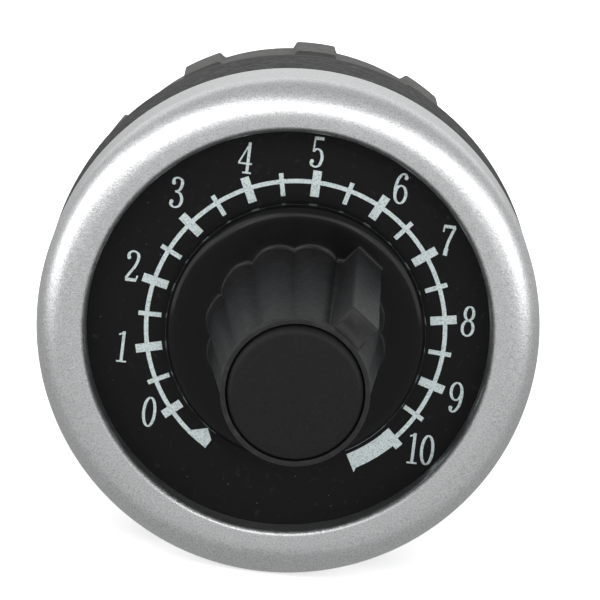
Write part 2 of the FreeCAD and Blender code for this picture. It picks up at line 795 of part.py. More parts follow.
def make_track_parts():
    """Board with its horseshoe resistance track, collector ring and three rivets."""
    track_front = "BoardFrontY - TrackThickness"
    board_back = "BoardFrontY + BoardThickness"
    disc = ring("board_disc", "0", "BoardRadius", "BoardFrontY", board_back)
    track = sector("resistance_track", "TrackInner", "TrackOuter", 0, "TrackHalfAngle",
                   track_front, "BoardFrontY")
    keep("resistance_track", track, shifted=True)
    bind(track, Placement_Rotation_Angle="-90 deg")
    keep("collector_ring", ring("collector_ring", "CollectorInner", "CollectorOuter",
                                track_front, "BoardFrontY"), shifted=True)
    holes = []
    rivets = []
    for number, (across, up) in enumerate(terminal_directions(), 1):
        spot = (f"{across} * (StripFloor + StripThickness / 2)", "BoardFrontY",
                f"{up} * (StripFloor + StripThickness / 2)")
        holes.append(rod(f"rivet_hole_{number}", "RivetRadius + 0.02", "BoardThickness", spot, (0, 1, 0)))
        shank = rod(f"rivet_shank_{number}", "RivetRadius", "BoardThickness + 0.1", spot, (0, 1, 0))
        head_spot = (spot[0], board_back, spot[2])
        head = rod(f"rivet_head_{number}", "RivetHeadRadius", "RivetHeadThickness", head_spot, (0, 1, 0))
        rivets.append(fuse(f"rivet_{number}", [shank, head]))
    keep("track_board", cut("track_board", disc, holes), shifted=True)
    keep("track_rivets", group("track_rivets", rivets), shifted=True)


def terminal_directions():
    """Across and up parts of the three terminals' directions: left, top and right."""
    return [(-1, 0), (0, 1), (1, 0)]


def make_pot_cover():
    """Pressed cover over the potentiometer, with slots for the three strips."""
    front = "WebRearY + PlateThickness"
    body = revolved("cover_cup", [
        ("CanRadius - CanWall", front),
        ("CanRadius", front),
        ("CanRadius", "CanBackY"),
        ("0", "CanBackY"),
        ("0", "CanBackY - CanWall"),
        ("CanRadius - CanWall", "CanBackY - CanWall"),
    ])
    reach = "StripFloor + StripThickness / 2"
    slots = []
    for number, (across, up) in enumerate(terminal_directions(), 1):
        wide = f"{abs(across)} * 1.1 + {abs(up)} * 1.8"
        tall = f"{abs(up)} * 1.1 + {abs(across)} * 1.8"
        slots.append(box(
            f"cover_slot_{number}",
            (f"{across} * ({reach}) - ({wide})", "CanBackY - 1", f"{up} * ({reach}) - ({tall})"),
            (f"{across} * ({reach}) + {wide}", "CanBackY + 1", f"{up} * ({reach}) + {tall}")))
    keep("pot_cover", cut("pot_cover", body, slots), shifted=True)


# ---- terminals -------------------------------------------------------------------------------

def turned_out(target, across):
    """Swing a piece that was made for the top terminal to the left or right one."""
    target.Placement = Placement(Vector(), Rotation(Vector(0, 1, 0), 90 * across))
    return target


def make_terminal_block():
    """Rear block that closes the barrel, with three screw wells and three wire entries."""
    body = revolved("block_blank", [
        ("0", "BlockNoseY"),
        ("BarrelBore - 0.35", "BlockNoseY"),
        ("BarrelBore - BlockGap", "BlockNoseY + 0.3"),
        ("BarrelBore - BlockGap", "BarrelRearY - 3.4"),
        ("BarrelBore + SnapHeight - BlockGap", "BarrelRearY - 3.0"),
        ("BarrelBore - BlockGap", "BarrelRearY - 2.6"),
        ("BarrelBore - BlockGap", "BarrelRearY"),
        ("BlockRadius", "BarrelRearY"),
        ("BlockRadius", "BlockRearY - 0.5"),
        ("BlockRadius - 0.5", "BlockRearY"),
        ("0", "BlockRearY"),
    ])
    tools = []
    for number, (across, up) in enumerate(terminal_directions(), 1):
        flat = box(f"flat_{number}", ("-12", "BarrelRearY + 1", "BlockFlat"), ("12", "BlockRearY + 1", "12"))
        well = box(f"well_{number}",
                   ("-WellHalfWidth", "WellY - WellHalfWidth", "StripFloor"),
                   ("WellHalfWidth", "WellY + WellHalfWidth", "12"))
        tail = box(f"tail_way_{number}",
                   ("-(TailHalfWidth + BlockGap)", "BlockNoseY - 1", "StripFloor"),
                   ("TailHalfWidth + BlockGap", "WellY", "StripFloor + StripThickness + BlockGap"))
        tip = rod(f"tip_way_{number}", "ScrewRadius + 2 * ScrewGap", "StripFloor - ScrewWellTip + 0.5",
                  ("0", "WellY", "ScrewWellTip"), (0, 0, 1))
        entry = rod(f"wire_entry_{number}", "WireHole", "BlockRearY - WellY",
                    ("0", "WellY", "WireReach"), (0, 1, 0))
        cutter = fuse(f"terminal_cutter_{number}", [flat, well, tail, tip, entry])
        tools.append(turned_out(cutter, across))
    keep("terminal_block", cut("terminal_block", body, tools))


def make_terminal(number, across):
    """One terminal's strip, clamp plate and screw."""
    strip_top = "StripFloor + StripThickness"
    tail_front = "BoardFrontY + BoardThickness + RivetHeadThickness"
    seat = box(f"strip_seat_{number}",
               ("-StripHalfWidth", "WellY - ClampHalfWidth", "StripFloor"),
               ("StripHalfWidth", "WellY + ClampHalfWidth", strip_top))
    tail = box(f"strip_tail_{number}",
               ("-TailHalfWidth", tail_front, "StripFloor"),
               ("TailHalfWidth", "WellY - 2", strip_top))
    blank = fuse(f"strip_blank_{number}", [seat, tail])
    hole = rod(f"strip_hole_{number}", "ScrewRadius + ScrewGap", "3",
               ("0", "WellY", "StripFloor - 1"), (0, 0, 1))
    strip = cut(f"terminal_strip_{number}", blank, [hole])
    keep(f"terminal_strip_{number}", turned_out(strip, across))

    plate_top = "ClampFloor + ClampThickness"
    plate = box(f"plate_blank_{number}",
                ("-ClampHalfWidth", "WellY - ClampHalfWidth", "ClampFloor"),
                ("ClampHalfWidth", "WellY + ClampHalfWidth", plate_top))
    plate_hole = rod(f"plate_hole_{number}", "ScrewRadius + ClampGap", "3",
                     ("0", "WellY", "ClampFloor - 1"), (0, 0, 1))
    clamp = cut(f"clamp_plate_{number}", plate, [plate_hole])
    keep(f"clamp_plate_{number}", turned_out(clamp, across))

    head = rod(f"screw_head_{number}", "ScrewHeadRadius", "ScrewHeadHeight",
               ("0", "WellY", plate_top), (0, 0, 1))
    shank = rod(f"screw_shank_{number}", "ScrewRadius", f"{plate_top} - ScrewTip + 0.5",
                ("0", "WellY", "ScrewTip"), (0, 0, 1))
    head_top = f"{plate_top} + ScrewHeadHeight"
    slot = box(f"screw_slot_{number}",
               ("-ScrewHeadRadius", "WellY - ScrewSlotWidth / 2", head_top + " - ScrewSlotDepth"),
               ("ScrewHeadRadius", "WellY + ScrewSlotWidth / 2", head_top + " + 1"))
    screw = cut(f"terminal_screw_{number}", fuse(f"screw_blank_{number}", [head, shank]), [slot])
    keep(f"terminal_screw_{number}", turned_out(screw, across))


def check_and_write():
    """Stop on any failed object or bad shape, then write one file for each sub-part."""
    doc.recompute()
    for item in doc.Objects:
        if "Invalid" in item.State or "Error" in item.State:
            raise RuntimeError(f"{item.Label} failed: {item.State}")
    os.makedirs("parts", exist_ok=True)
    for name, target in parts.items():
        if target.Shape.isNull() or not target.Shape.isValid() or not target.Shape.Solids:
            raise RuntimeError(f"{name} has no valid solid")
        target.Shape.exportStep(f"parts/{name}.step")
        print(f"{name}: {len(target.Shape.Solids)} solid, {target.Shape.Volume:.2f} mm3")


make_bezel_ring()
make_dial_plate()
make_dial_seal()
make_housing()
make_panel_gasket()
make_thrust_washer()
make_ring_nut()
make_knob_body()
make_knob_cap()
make_collet()
make_collet_nut()
make_spindle()
make_retaining_clip()
make_spindle_seal()
make_bushing_plate()
make_bushing_washer()
make_bushing_nut()
make_rotor()
make_wiper()
make_track_parts()
make_pot_cover()
make_terminal_block()
for terminal_number, (terminal_across, terminal_up) in enumerate(terminal_directions(), 1):
    make_terminal(terminal_number, terminal_across)
check_and_write()
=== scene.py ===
import json
import math

import bmesh
import bpy
import numpy as np
from mathutils import Matrix, Vector


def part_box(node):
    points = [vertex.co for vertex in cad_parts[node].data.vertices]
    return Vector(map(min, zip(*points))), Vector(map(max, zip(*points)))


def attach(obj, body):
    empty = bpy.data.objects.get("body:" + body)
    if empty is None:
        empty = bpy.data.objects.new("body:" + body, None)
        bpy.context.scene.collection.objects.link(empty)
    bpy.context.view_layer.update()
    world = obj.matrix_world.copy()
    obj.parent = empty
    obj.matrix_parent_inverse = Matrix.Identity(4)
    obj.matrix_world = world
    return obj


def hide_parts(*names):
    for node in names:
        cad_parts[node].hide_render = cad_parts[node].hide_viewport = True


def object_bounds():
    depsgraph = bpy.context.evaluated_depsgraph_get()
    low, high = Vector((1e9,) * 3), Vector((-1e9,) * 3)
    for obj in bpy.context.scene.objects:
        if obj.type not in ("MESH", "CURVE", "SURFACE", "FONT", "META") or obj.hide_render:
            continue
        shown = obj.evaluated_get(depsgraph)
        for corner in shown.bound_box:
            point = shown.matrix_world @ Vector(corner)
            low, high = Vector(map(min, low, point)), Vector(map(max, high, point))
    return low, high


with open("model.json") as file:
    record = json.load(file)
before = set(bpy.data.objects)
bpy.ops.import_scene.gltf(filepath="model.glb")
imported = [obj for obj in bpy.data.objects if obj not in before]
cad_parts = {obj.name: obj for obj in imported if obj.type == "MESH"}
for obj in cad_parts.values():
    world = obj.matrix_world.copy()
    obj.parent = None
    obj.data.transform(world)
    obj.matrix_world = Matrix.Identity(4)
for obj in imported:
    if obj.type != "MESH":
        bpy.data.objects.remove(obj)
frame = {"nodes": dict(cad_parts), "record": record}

cad_low, cad_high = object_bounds()

# Lengths below are in millimetres; meshes are scaled to metres when they are made.
# The device axis is Y, the dial faces -Y, and angles run clockwise from +Z for a reader.
MM = 0.001
# The spindle's place beside the bezel's axis, in X and Z.
SPINDLE = (0.45, 0)
# The pointer's turn from the middle of the scale at rest.
REST_TURN = math.radians(37)


def node_box(node):
    """A CAD node's lowest and highest corner in millimetres."""
    low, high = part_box(node)
    return Vector(low) / MM, Vector(high) / MM


# ---- mesh helpers --------------------------------------------------------------------------

def rounded(corners, steps=5):
    """Outline points from corners (radius, y, rounding); rounding 0 keeps a corner sharp."""
    points = []
    count = len(corners)
    for index, (across, along, bend) in enumerate(corners):
        here = Vector((across, along))
        if not bend:
            points.append((here.x, here.y))
            continue
        before = Vector(corners[index - 1][:2]) - here
        after = Vector(corners[(index + 1) % count][:2]) - here
        before.normalize()
        after.normalize()
        half = before.angle(after) / 2
        setback = bend / math.tan(half)
        start = here + before * setback
        end = here + after * setback
        centre = here + (before + after).normalized() * (bend / math.sin(half))
        for step in range(steps + 1):
            share = step / steps
            spoke = (start - centre).lerp(end - centre, share)
            points.append(tuple(centre + spoke.normalized() * bend))
    return points


def ring_of(radii, heights, centre=(0, 0), turn=0.0):
    """One closed row of points around the axis, from a radius and a y for each angle."""
    angles = np.linspace(0, 2 * math.pi, len(radii), endpoint=False) + turn
    return np.stack([
        centre[0] + radii * np.sin(angles),
        np.broadcast_to(heights, radii.shape),
        centre[1] + radii * np.cos(angles),
    ], axis=1)


def mesh_from_rows(name, rows):
    """A closed surface over closed rows of points; the last row joins the first."""
    columns = len(rows[0])
    points = np.concatenate(rows) * MM
    faces = []
    for row in range(len(rows)):
        following = (row + 1) % len(rows)
        for column in range(columns):
            beside = (column + 1) % columns
            faces.append((row * columns + column, row * columns + beside,
                          following * columns + beside, following * columns + column))
    return piece_from(name, points.tolist(), faces)


def piece_from(name, points, faces, smooth=True):
    """An object from points in metres; a smooth one also has its doubled points merged."""
    mesh = bpy.data.meshes.new(name)
    mesh.from_pydata(points, [], faces)
    work = bmesh.new()
    work.from_mesh(mesh)
    if smooth:
        bmesh.ops.remove_doubles(work, verts=work.verts, dist=1e-8)
        bmesh.ops.dissolve_degenerate(work, edges=work.edges, dist=1e-9)
    bmesh.ops.recalc_face_normals(work, faces=work.faces)
    for face in work.faces:
        face.smooth = smooth
    work.to_mesh(mesh)
    work.free()
    piece = bpy.data.objects.new(name, mesh)
    bpy.context.scene.collection.objects.link(piece)
    return piece


def even_normals(piece):
    """Keep flat stretches flat beside rounded edges."""
    modifier = piece.modifiers.new("even_normals", "WEIGHTED_NORMAL")
    modifier.keep_sharp = True


def lathe(name, corners, segments=192, centre=(0, 0), steps=5):
    """A turned piece from rounded corners."""
    rows = []
    for radius, along in rounded(corners, steps):
        rows.append(ring_of(np.full(segments, radius), along, centre))
    piece = mesh_from_rows(name, rows)
    even_normals(piece)
    return piece


def dress(piece, body, slot, *materials, replaces=()):
    """Give a piece its body and materials, and hide the CAD nodes it stands for; the record slot
    is not used.
    """
    for look in materials:
        piece.data.materials.append(look)
    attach(piece, body)
    if replaces:
        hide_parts(*replaces)
    return piece


def smooth_max(first, second, blend):
    """The larger of two arrays with a soft turn between them."""
    share = np.clip(0.5 + (first - second) / (2 * blend), 0, 1)
    return second + (first - second) * share + blend * share * (1 - share)


def smooth_min(first, second, blend):
    """The smaller of two arrays with a soft turn between them."""
    return -smooth_max(-first, -second, blend)


# ---- materials -----------------------------------------------------------------------------

class Look:
    """A node material built on one principled shader and the object's own coordinates."""

    def __init__(self, name, color, roughness, metallic=0.0, gloss=0.5):
        self.material = bpy.data.materials.new(name)
        self.material.use_nodes = True
        self.nodes = self.material.node_tree.nodes
        self.links = self.material.node_tree.links
        self.shader = self.nodes["Principled BSDF"]
        self.shader.inputs["Base Color"].default_value = (*color, 1)
        self.shader.inputs["Roughness"].default_value = roughness
        self.shader.inputs["Metallic"].default_value = metallic
        self.shader.inputs["Specular IOR Level"].default_value = gloss
        self.color = color
        self.place = self.nodes.new("ShaderNodeTexCoord").outputs["Object"]
        self.normal = None

    def noise(self, size_mm, detail=3.0, stretch=None):
        """Noise whose blotches are about size_mm across."""
        texture = self.nodes.new("ShaderNodeTexNoise")
        texture.inputs["Scale"].default_value = 1 / (size_mm * MM)
        texture.inputs["Detail"].default_value = detail
        source = self.place
        if stretch:
            mapping = self.nodes.new("ShaderNodeMapping")
            mapping.inputs["Scale"].default_value = stretch
            self.links.new(source, mapping.inputs["Vector"])
            source = mapping.outputs["Vector"]
        self.links.new(source, texture.inputs["Vector"])
        return texture.outputs["Fac"]

    def spots(self, size_mm):
        """Distance to the nearest of scattered points about size_mm apart."""
        texture = self.nodes.new("ShaderNodeTexVoronoi")
        texture.inputs["Scale"].default_value = 1 / (size_mm * MM)
        self.links.new(self.place, texture.inputs["Vector"])
        return texture.outputs["Distance"]

    def ramp(self, source, low, high, start=0.0, end=1.0):
        """Map a value from low..high to start..end, clamped."""
        convert = self.nodes.new("ShaderNodeMapRange")
        convert.inputs["From Min"].default_value = low
        convert.inputs["From Max"].default_value = high
        convert.inputs["To Min"].default_value = start
        convert.inputs["To Max"].default_value = end
        self.links.new(source, convert.inputs["Value"])
        return convert.outputs["Result"]

    def tint(self, source, color):
        """Blend the base colour towards another where source is 1."""
        mix = self.nodes.new("ShaderNodeMix")
        mix.data_type = "RGBA"
        base = self.shader.inputs["Base Color"]
        if base.is_linked:
            self.links.new(base.links[0].from_socket, mix.inputs["A"])
        else:
            mix.inputs["A"].default_value = (*self.color, 1)
        mix.inputs["B"].default_value = (*color, 1)
        self.links.new(source, mix.inputs["Factor"])
        self.links.new(mix.outputs["Result"], base)

    def vary_roughness(self, source, low, high):
        """Spread the roughness between two values as source goes from 0 to 1."""
        self.links.new(self.ramp(source, 0.3, 0.7, low, high), self.shader.inputs["Roughness"])

    def bump(self, source, depth_mm):
        """Raise the surface by depth_mm where source is 1, on top of earlier bumps."""
        node = self.nodes.new("ShaderNodeBump")
        node.inputs["Distance"].default_value = depth_mm * MM
        self.links.new(source, node.inputs["Height"])
        if self.normal:
            self.links.new(self.normal, node.inputs["Normal"])
        self.normal = node.outputs["Normal"]
        self.links.new(self.normal, self.shader.inputs["Normal"])


def satin_aluminium():
    """Fine-blasted aluminium under a clear anodised film."""
    look = Look("satin_aluminium", (0.78, 0.785, 0.79), 0.34, metallic=1.0)
    look.tint(look.ramp(look.noise(0.10, 2), 0.42, 0.70), (0.54, 0.55, 0.56))
    look.tint(look.ramp(look.noise(2.2, 3), 0.5, 0.85, 0, 0.35), (0.66, 0.66, 0.67))
    look.vary_roughness(look.noise(0.3, 3), 0.30, 0.40)
    look.bump(look.noise(0.10, 2), 0.012)
    look.bump(look.ramp(look.spots(0.22), 0.0, 0.25), 0.004)
    return look.material


def dial_black():
    """Screen-printed matt black."""
    look = Look("dial_black", (0.007, 0.007, 0.0075), 0.46, gloss=0.08)
    look.tint(look.ramp(look.noise(0.35, 4), 0.62, 0.78, 0, 0.5), (0.03, 0.03, 0.031))
    look.tint(look.ramp(look.spots(0.9), 0.035, 0.02), (0.16, 0.16, 0.16))
    look.vary_roughness(look.noise(0.6, 3), 0.40, 0.52)
    look.bump(look.noise(0.12, 3), 0.003)
    return look.material


def print_white():
    """Pale screen-print ink with pinholes."""
    look = Look("print_white", (0.44, 0.51, 0.51), 0.55)
    look.tint(look.ramp(look.noise(0.10, 3), 0.5, 0.62, 0, 0.8), (0.24, 0.28, 0.28))
    look.tint(look.ramp(look.noise(0.07, 2), 0.56, 0.66), (0.66, 0.70, 0.70))
    look.tint(look.ramp(look.spots(0.33), 0.10, 0.05), (0.06, 0.07, 0.07))
    look.bump(look.noise(0.07, 2), 0.006)
    return look.material


def knob_grip_black():
    """Moulded black plastic with a fine spark-eroded grain."""
    look = Look("knob_grip_black", (0.012, 0.0122, 0.013), 0.44, gloss=0.22)
    look.tint(look.ramp(look.noise(0.5, 4), 0.5, 0.8, 0, 0.5), (0.035, 0.035, 0.037))
    look.vary_roughness(look.noise(0.4, 3), 0.38, 0.50)
    look.bump(look.noise(0.08, 3), 0.004)
    return look.material


def knob_cap_black():
    """The cap's fine even grain."""
    look = Look("knob_cap_black", (0.0065, 0.0065, 0.007), 0.48, gloss=0.16)
    look.tint(look.ramp(look.noise(0.12, 3), 0.5, 0.75, 0, 0.6), (0.013, 0.013, 0.0135))
    look.vary_roughness(look.noise(0.4, 3), 0.44, 0.54)
    look.bump(look.noise(0.06, 3), 0.006)
    return look.material


def knob_skirt_black():
    """The knob's polished skirt."""
    look = Look("knob_skirt_black", (0.004, 0.004, 0.0045), 0.16, gloss=0.17)
    look.tint(look.ramp(look.spots(1.1), 0.03, 0.015), (0.12, 0.12, 0.12))
    look.vary_roughness(look.noise(0.8, 4), 0.12, 0.24)
    look.bump(look.noise(0.6, 2), 0.002)
    return look.material


def housing_black():
    """Moulded matt plastic of the housing and the terminal block."""
    look = Look("housing_black", (0.009, 0.009, 0.0095), 0.5, gloss=0.12)
    look.tint(look.ramp(look.noise(0.9, 4), 0.5, 0.8, 0, 0.6), (0.024, 0.024, 0.026))
    look.vary_roughness(look.noise(0.5, 3), 0.42, 0.6)
    look.bump(look.noise(0.15, 3), 0.006)
    return look.material


def nut_grey():
    """Moulded grey plastic of the ring nut."""
    look = Look("nut_grey", (0.050, 0.049, 0.047), 0.5, gloss=0.25)
    look.tint(look.ramp(look.noise(0.8, 4), 0.45, 0.8, 0, 0.5), (0.074, 0.072, 0.069))
    look.vary_roughness(look.noise(0.4, 3), 0.42, 0.58)
    look.bump(look.noise(0.14, 3), 0.006)
    return look.material


def black_rubber():
    """Matt gasket rubber with dusty bloom."""
    look = Look("black_rubber", (0.018, 0.018, 0.019), 0.72)
    look.tint(look.ramp(look.noise(0.7, 5), 0.5, 0.8, 0, 0.5), (0.045, 0.044, 0.042))
    look.bump(look.noise(0.2, 4), 0.01)
    return look.material


def plated_steel():
    """Zinc-plated steel with faint crystal bloom and rolling marks."""
    look = Look("bright_steel", (0.62, 0.63, 0.65), 0.3, metallic=1.0)
    look.tint(look.ramp(look.noise(0.7, 5), 0.45, 0.8, 0, 0.6), (0.50, 0.51, 0.50))
    look.vary_roughness(look.noise(0.5, 4), 0.22, 0.42)
    look.bump(look.noise(0.12, 2, (1, 6, 1)), 0.003)
    return look.material


def brass_look(name, color, shade):
    """Brass or bronze with tarnish in blotches and fine turning marks."""
    look = Look(name, color, 0.3, metallic=1.0)
    look.tint(look.ramp(look.noise(0.9, 5), 0.45, 0.8, 0, 0.8), shade)
    look.vary_roughness(look.noise(0.5, 4), 0.24, 0.46)
    look.bump(look.noise(0.1, 2, (1, 5, 1)), 0.003)
    return look.material


def plain_look(name, color, shade, roughness, grain_mm):
    """A non-metal with blotchy colour and a fine grain."""
    look = Look(name, color, roughness)
    look.tint(look.ramp(look.noise(1.0, 5), 0.4, 0.8, 0, 0.7), shade)
    look.vary_roughness(look.noise(0.5, 3), roughness - 0.06, roughness + 0.1)
    look.bump(look.noise(grain_mm, 3), 0.006)
    return look.material


LOOKS = {
    "satin_aluminium": satin_aluminium(),
    "dial_black": dial_black(),
    "housing_black": housing_black(),
    "knob_black": knob_grip_black(),
    "nut_grey": nut_grey(),
    "black_rubber": black_rubber(),
    "bright_steel": plated_steel(),
    "nickel_brass": brass_look("nickel_brass", (0.66, 0.62, 0.52), (0.50, 0.42, 0.28)),
    "plain_brass": brass_look("plain_brass", (0.75, 0.57, 0.28), (0.55, 0.38, 0.18)),
    "spring_bronze": brass_look("spring_bronze", (0.72, 0.47, 0.29), (0.5, 0.3, 0.17)),
    "board_brown": plain_look("board_brown", (0.30, 0.15, 0.06), (0.20, 0.09, 0.035), 0.5, 0.3),
    "track_carbon": plain_look(
        "track_carbon", (0.012, 0.012, 0.013), (0.03, 0.03, 0.03), 0.4, 0.1),
    "rotor_white": plain_look("rotor_white", (0.66, 0.64, 0.56), (0.58, 0.55, 0.46), 0.4, 0.2),
}
PRINT_WHITE = print_white()
CAP_BLACK = knob_cap_black()
SKIRT_BLACK = knob_skirt_black()


# ---- bezel and dial plate --------------------------------------------------------------------

def make_bezel():
    """Domed bezel ring with a rounded lip over the dial plate."""
    low, high = node_box("bezel_ring")
    front, back, rim = low.y, high.y, high.x
    lip, lip_thickness = 12.0, 1.8
    bore = 13.4
    lip_back = front + lip_thickness
    piece = lathe("bezel", [
        (lip, lip_back, 0.08),
        (lip, front, 0.35),
        (rim, front, 2.1),
        (rim, back, 0.15),
        (bore, back, 0.1),
        (bore, lip_back, 0),
    ], segments=288, steps=14)
    dress(piece, "housing", "satin_aluminium", LOOKS["satin_aluminium"], replaces=["bezel_ring"])


def make_dial_plate():
    """Black plate, centred on the spindle, under the lip; gives its front face's y."""
    low, high = node_box("dial_plate")
    hole, radius = 3.8, (high.x - low.x) / 2
    edge = 0.05
    piece = lathe("dial", [
        (hole, low.y, edge),
        (radius, low.y, edge),
        (radius, high.y, edge),
        (hole, high.y, edge),
    ], segments=240, centre=SPINDLE, steps=2)
    dress(piece, "housing", "dial_black", LOOKS["dial_black"], replaces=["dial_plate"])
    return low.y


# ---- the printed scale -----------------------------------------------------------------------

SCALE_START = -130.4
SCALE_STEP = 13.13
TICKS = 21
ARC_RADIUS = 8.9
ARC_LINE = 0.26
INK = 0.025
DIGIT_HEIGHT = 1.88
# Digits are drawn ten units high. The widths of their thin, thick and flat strokes and the
# step from one digit to the next are in the same units.
THIN = 0.52
THICK = 0.95
FLAT = 1.0
ADVANCE = 4.6
# Each label, the clockwise angle of its middle and its radius.
LABELS = [("0", -127, 10.1), ("1", -103, 10.4), ("2", -75.5, 10.4), ("3", -47.5, 10.8),
          ("4", -23, 10.7), ("5", 0, 10.7), ("6", 29.5, 10.5), ("7", 52.5, 10.5),
          ("8", 80.5, 10.3), ("9", 106.5, 10.45), ("10", 127.6, 10.45)]


def polar(radius, degrees):
    """A place on the dial plate from a radius and a clockwise angle from +Z."""
    turn = math.radians(degrees)
    return Vector((radius * math.sin(turn), radius * math.cos(turn)))


def arc_band(inner, outer, start, end):
    """An outline for a stretch of a ring."""
    count = max(2, round(abs(end - start) / 1.5))
    steps = [start + (end - start) * step / count for step in range(count + 1)]
    return ([polar(outer, step) for step in steps]
            + [polar(inner, step) for step in reversed(steps)])


def bar(start, end, width):
    """An outline for a straight stroke."""
    side = (end - start).normalized().orthogonal() * width / 2
    return [start + side, end + side, end - side, start - side]


def blot(centre, radius):
    """A round spot."""
    return [centre + Vector((math.cos(a), math.sin(a))) * radius
            for a in np.linspace(0, 2 * math.pi, 20, endpoint=False)]


def through(points, steps=10):
    """A smooth open path through points, as a Catmull-Rom curve."""
    spots = [Vector(point) for point in points]
    count = len(spots)
    path = []
    for index in range(count - 1):
        picks = [index - 1, index, index + 1, index + 2]
        a, b, c, d = (spots[min(max(pick, 0), count - 1)] for pick in picks)
        for step in range(steps):
            t = step / steps
            path.append(0.5 * (2 * b + (c - a) * t + (2 * a - 5 * b + 4 * c - d) * t * t
                               + (3 * b - a - 3 * c + d) * t ** 3))
    path.append(spots[-1])
    return path


def pen(path, closed=False):
    """A stroke that is thick where it runs up and down and thin where it runs across."""
    count = len(path)
    left, right = [], []
    for index in range(count):
        before = path[index - 1] if (index or closed) else path[0]
        after = path[(index + 1) % count] if (index < count - 1 or closed) else path[-1]
        along = (after - before).normalized()
        side = Vector((-along.y, along.x)) * (THIN + (THICK - THIN) * along.y ** 2) / 2
        left.append(path[index] + side)
        right.append(path[index] - side)
    strips = []
    for index in range(count if closed else count - 1):
        following = (index + 1) % count
        strips.append([left[index], left[following], right[following], right[index]])
    return strips


def oval(across, up, wide, tall):
    """A closed oval pen stroke."""
    return pen([Vector((across + wide * math.cos(a), up + tall * math.sin(a)))
                for a in np.linspace(0, 2 * math.pi, 40, endpoint=False)], closed=True)


def curved(points):
    """A pen stroke along a smooth open path."""
    return pen(through(points))


def digit_strokes(digit):
    """Outlines for one digit, ten units high and about four and a half wide."""
    def line(start, end, width):
        return bar(Vector(start), Vector(end), width)

    def ball(spot):
        return blot(Vector(spot), 0.62)

    if digit == "0":
        return oval(2.3, 5, 1.75, 4.65)
    if digit == "1":
        return [line((2.5, 10), (2.5, 0.2), THICK), line((2.7, 9.6), (1.0, 8.9), THIN),
                line((0.9, 0.3), (4.1, 0.3), THIN)]
    if digit == "2":
        return (curved([(0.75, 7.7), (1.0, 9.0), (2.3, 9.7), (3.7, 8.9), (3.9, 7.2), (3.1, 4.9),
                        (1.7, 2.7), (0.6, 0.9)])
                + [ball((0.95, 7.6)), line((0.4, 0.5), (3.9, 0.5), FLAT),
                   line((3.7, 0.3), (4.2, 2.0), THIN)])
    if digit == "3":
        return (curved([(0.8, 8.3), (1.2, 9.4), (2.3, 9.7), (3.5, 9.0), (3.6, 7.3), (2.9, 5.8),
                        (1.7, 5.3)])
                + curved([(1.7, 5.3), (3.2, 4.8), (4.0, 3.0), (3.5, 1.0), (2.2, 0.3), (1.0, 0.7),
                          (0.6, 1.8)])
                + [ball((1.0, 8.0)), ball((0.9, 2.0))])
    if digit == "4":
        return [line((3.2, 10), (3.2, 0.2), THICK), line((3.3, 9.8), (0.3, 3.3), THIN),
                line((0.2, 3.2), (4.5, 3.2), THIN), line((1.8, 0.3), (4.5, 0.3), THIN)]
    if digit == "5":
        return (curved([(1.0, 5.2), (2.1, 6.0), (3.4, 5.3), (3.9, 3.2), (3.3, 1.0), (2.1, 0.3),
                        (0.9, 0.8), (0.6, 1.9)])
                + [ball((0.9, 2.0)), line((1.2, 9.9), (1.0, 5.0), THIN),
                   line((1.0, 9.4), (3.9, 9.4), FLAT)])
    if digit == "6":
        return (curved([(3.8, 8.6), (3.1, 9.7), (2.0, 9.3), (1.0, 7.6), (0.55, 5.2), (0.55, 3.0)])
                + oval(2.3, 3.1, 1.7, 2.8) + [ball((3.6, 8.5))])
    if digit == "7":
        return (curved([(4.0, 9.2), (3.0, 6.4), (2.2, 3.6), (1.9, 0.4)])
                + [line((0.6, 9.4), (4.2, 9.4), FLAT), line((0.75, 9.6), (0.5, 7.6), THIN),
                   line((2.05, 2.4), (1.85, 0.1), 1.3)])
    if digit == "8":
        return oval(2.3, 7.5, 1.35, 2.15) + oval(2.3, 2.75, 1.7, 2.45)
    # A nine is a six turned half round.
    return [[Vector((4.5, 10)) - point for point in stroke] for stroke in digit_strokes("6")]


def label_strokes(text, degrees, radius):
    """Upright strokes for a label whose middle is at a place on the dial."""
    unit = DIGIT_HEIGHT / 10
    middle = Vector((ADVANCE * len(text) / 2, 5))
    strokes = []
    for index, digit in enumerate(text):
        shift = Vector((ADVANCE * index, 0)) - middle
        for stroke in digit_strokes(digit):
            strokes.append([polar(radius, degrees) + (point + shift) * unit for point in stroke])
    return strokes


def scale_strokes():
    """The arc, its ticks, the two end marks and the labels."""
    half = ARC_LINE / 2
    wedge_end, wedge_start = -150.3, -141.5
    band_start, band_end = 132.0, 151.3
    strokes = [arc_band(ARC_RADIUS - half, ARC_RADIUS + half, wedge_end, 151)]
    strokes.append([polar(8.8, wedge_start), polar(8.0, -146.0), polar(8.45, wedge_end),
                    polar(9.05, wedge_end), polar(9.05, wedge_start)])
    strokes.append(arc_band(8.22, 9.2, band_start, band_end))
    strokes.append([polar(9.0, 149.3), polar(9.0, band_end), polar(9.4, band_end),
                    polar(9.2, 150)])
    for tick in range(TICKS):
        degrees = SCALE_START + tick * SCALE_STEP
        whole = tick % 2 == 0
        last = tick in (0, TICKS - 1)
        inner = ARC_RADIUS - (0.7 if last else 0.87)
        outer = ARC_RADIUS + (0.58 if last else 0.7 if whole else 0.5)
        width = 0.52 if whole else 0.27
        strokes.append(bar(polar(inner, degrees), polar(outer, degrees), width))
    for text, degrees, radius in LABELS:
        strokes += label_strokes(text, degrees, radius)
    return strokes


